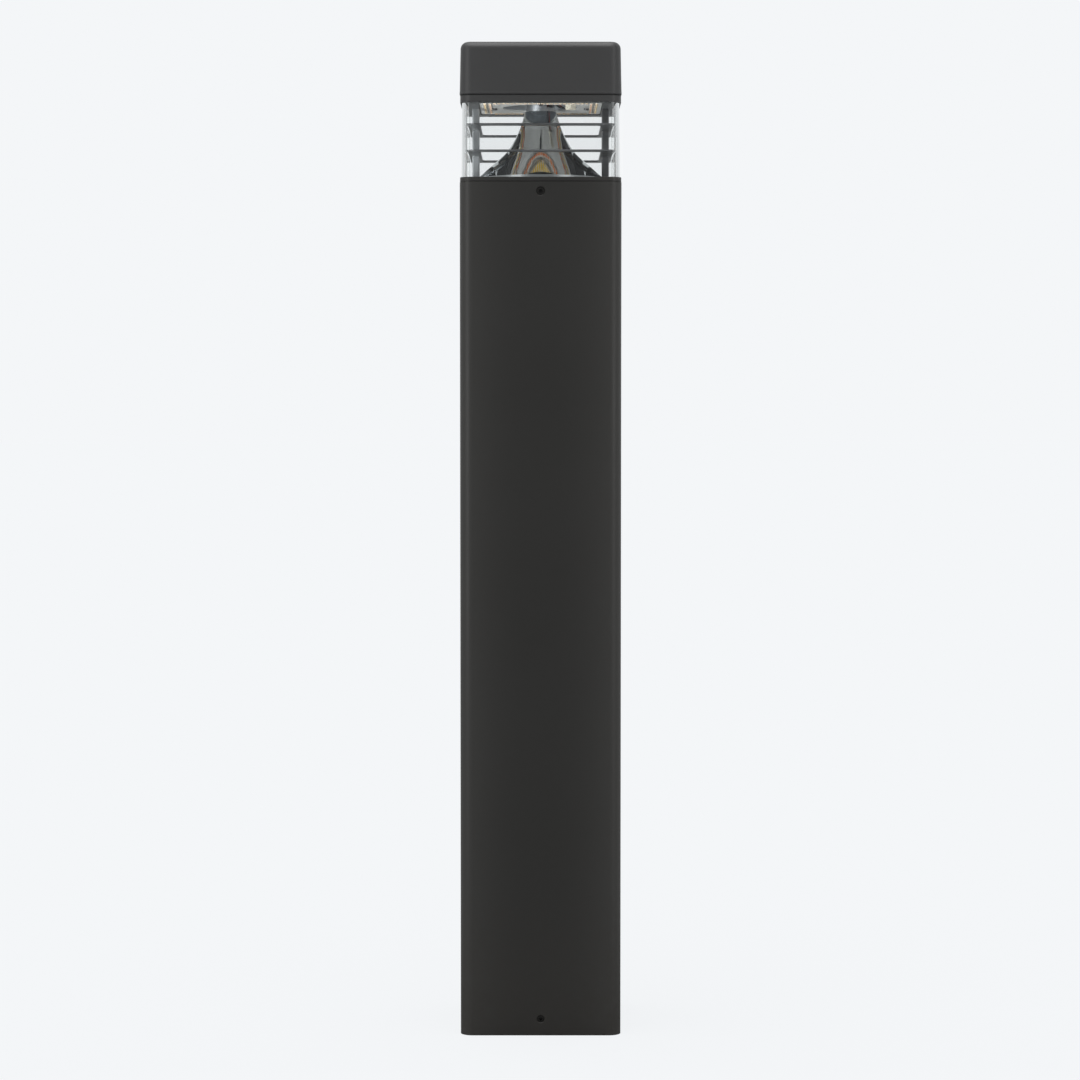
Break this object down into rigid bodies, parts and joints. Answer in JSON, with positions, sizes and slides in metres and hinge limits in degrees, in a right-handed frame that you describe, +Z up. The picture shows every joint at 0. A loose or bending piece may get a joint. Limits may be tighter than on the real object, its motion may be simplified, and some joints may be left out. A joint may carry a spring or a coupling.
{
  "type": "bollard light",
  "caption": "Square post bollard light with a clear lens head, mirror cone reflector, flat louvre rings and a rounded cap, on a hidden bolt-down foot.",
  "frame": {"origin": "centre of the foot of the shaft, on the ground", "axes": "+Z up along the shaft, -Y the front face, +X to the right seen from the front"},
  "size_m": [0.1732, 0.1732, 1.067],
  "materials": {
    "housing_paint": "fine-textured dark bronze powder coat",
    "clear_lens": "clear moulded acrylic",
    "gasket_rubber": "black sponge rubber",
    "satin_metal": "satin grey",
    "mirror_metal": "spun and polished",
    "board_white": "white solder mask",
    "led_orange": "orange phosphor gel in a white package",
    "led_yellow": "yellow phosphor gel in a white package",
    "chip_black": "black ceramic",
    "connector_cream": "moulded nylon",
    "screw_steel": "zinc plated",
    "screw_dark": "black oxide",
    "lead_red": "insulated wire",
    "lead_black": "insulated wire",
    "lead_white": "insulated wire",
    "pad_grey": "filled silicone",
    "cast_metal": "as cast",
    "driver_case": "off-white",
    "galvanised": "galvanised sheet",
    "terminal_grey": "moulded",
    "brass": "plain",
    "module_black": "moulded",
    "screw_green": "green zinc"
  },
  "bodies": {
    "base": {"anchor_base": "cast_metal"},
    "shaft": {"shaft": "housing_paint", "base_screws": "screw_dark", "head_screws": "screw_dark"},
    "head": {"collar": "housing_paint", "lens_lower_gasket": "gasket_rubber", "lens": "clear_lens", "lens_upper_gasket": "gasket_rubber", "louver_ring_lower": "satin_metal", "louver_ring_upper": "satin_metal", "side_post_left": "satin_metal", "side_post_right": "satin_metal", "post_bolts": "screw_steel", "reflector_cone": "mirror_metal", "stem_tube": "satin_metal", "stem_screws": "screw_steel", "led_board": "board_white", "leds_warm": "led_orange", "leds_cool": "led_yellow", "board_resistors": "chip_black", "board_screws": "screw_steel", "board_connector": "connector_cream", "led_lead_red": "lead_red", "led_lead_black": "lead_black", "thermal_pad": "pad_grey", "led_housing": "housing_paint", "cap_gasket": "gasket_rubber", "top_cap": "housing_paint", "cap_screws": "screw_steel", "driver_bracket": "galvanised", "bracket_screws": "screw_steel", "wire_grommet": "gasket_rubber", "driver": "driver_case", "driver_screws": "screw_steel", "terminal_block": "terminal_grey", "terminal_screws": "brass", "supply_lead_line": "lead_black", "supply_lead_neutral": "lead_white", "surge_protector": "module_black", "ground_screw": "screw_green"}
  },
  "joints": [
    {"name": "shaft_lift", "type": "slide", "parent": "base", "child": "shaft", "axis": [0, 0, 1], "range_m": [0, 0.05]},
    {"name": "head_lift", "type": "slide", "parent": "shaft", "child": "head", "axis": [0, 0, 1], "range_m": [0, 0.3]}
  ]
}
